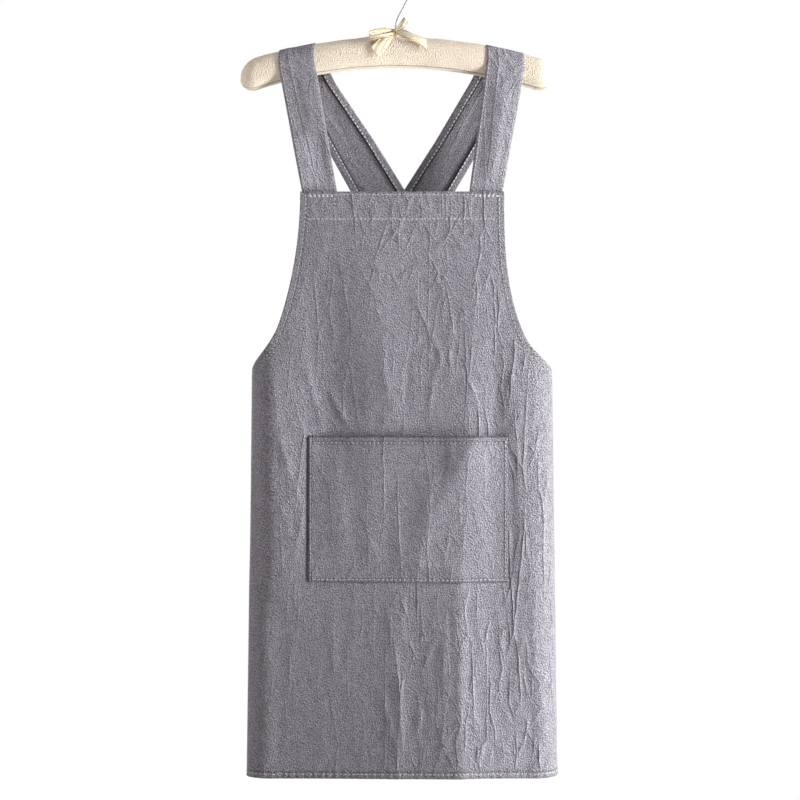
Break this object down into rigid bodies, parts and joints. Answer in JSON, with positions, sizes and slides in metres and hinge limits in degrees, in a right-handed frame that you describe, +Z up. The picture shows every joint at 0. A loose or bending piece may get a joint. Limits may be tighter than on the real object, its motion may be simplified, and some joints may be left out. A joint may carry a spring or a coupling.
{
  "type": "kitchen apron on a padded hanger",
  "caption": "Cross-back kitchen apron with a bib, wide patch pocket and broad shoulder straps, hung on a padded hanger with a wire hook and a ribbon bow.",
  "frame": {"origin": "inner top of the hook's bend, where a rail carries the hanger", "axes": "+Z up, the apron's front faces -Y, +X is the viewer's right seen from the front"},
  "size_m": [0.3881, 0.079, 0.9815],
  "materials": {
    "apron_cloth": "washed matt grey cotton and linen",
    "hanger_cover": "plain cream cotton cover",
    "hook_wire": "satin",
    "ribbon": "satin ribbon"
  },
  "bodies": {
    "root": {"body": "apron_cloth", "bib_facing": "apron_cloth", "pocket": "apron_cloth", "strap_left": "apron_cloth", "strap_right": "apron_cloth", "hanger_bar": "hanger_cover", "hanger_hook": "hook_wire", "ribbon_bow": "ribbon"}
  },
  "joints": []
}
